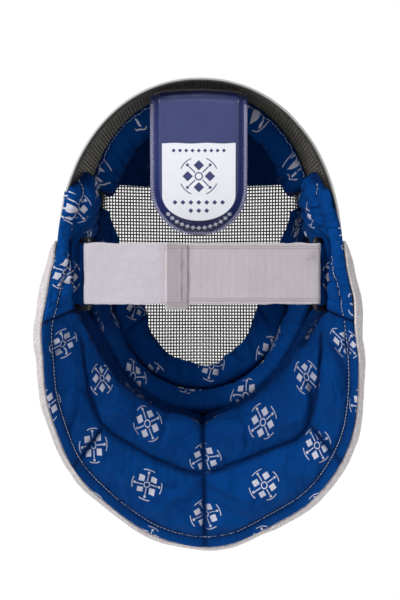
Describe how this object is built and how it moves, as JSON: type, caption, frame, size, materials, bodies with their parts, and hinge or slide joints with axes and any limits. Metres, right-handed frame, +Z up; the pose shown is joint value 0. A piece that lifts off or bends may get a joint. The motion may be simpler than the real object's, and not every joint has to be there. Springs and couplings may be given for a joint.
{
  "type": "fencing mask",
  "caption": "Fencing mask with a creased wire face guard, quilted lining, padded bib, bent tongue and a head strap.",
  "frame": {"origin": "inside the crown, on the centre line, where the mask sits on the top of the wearer's head", "axes": "+Z up, +Y towards the face guard, +X towards the wearer's right"},
  "size_m": [0.2726, 0.2104, 0.4015],
  "materials": {
    "wire_steel": "dark woven wire",
    "trim_grey": "satin",
    "lining_blue": "quilted polyester with a pale print",
    "bib_white": "coarse weave",
    "tongue_navy": "semi-gloss",
    "label_white": "satin",
    "ring_black": "satin",
    "strap_pile": "brushed loop pile",
    "strap_elastic": "ribbed elastic webbing"
  },
  "bodies": {
    "root": {"face_mesh": "wire_steel", "side_mesh": "wire_steel", "mesh_join": "wire_steel", "rim_trim": "trim_grey", "chin_pad": "lining_blue", "jaw_roll": "lining_blue", "forehead_pad": "lining_blue", "side_lining_left": "lining_blue", "side_lining_right": "lining_blue", "bib_lining": "lining_blue", "bib_cloth": "bib_white", "tongue_cover": "tongue_navy", "tongue_label": "label_white", "strap_ring_left": "ring_black", "strap_ring_right": "ring_black", "ring_tab_left": "lining_blue", "ring_tab_right": "lining_blue", "strap_left": "strap_pile", "strap_right": "strap_elastic"}
  },
  "joints": []
}
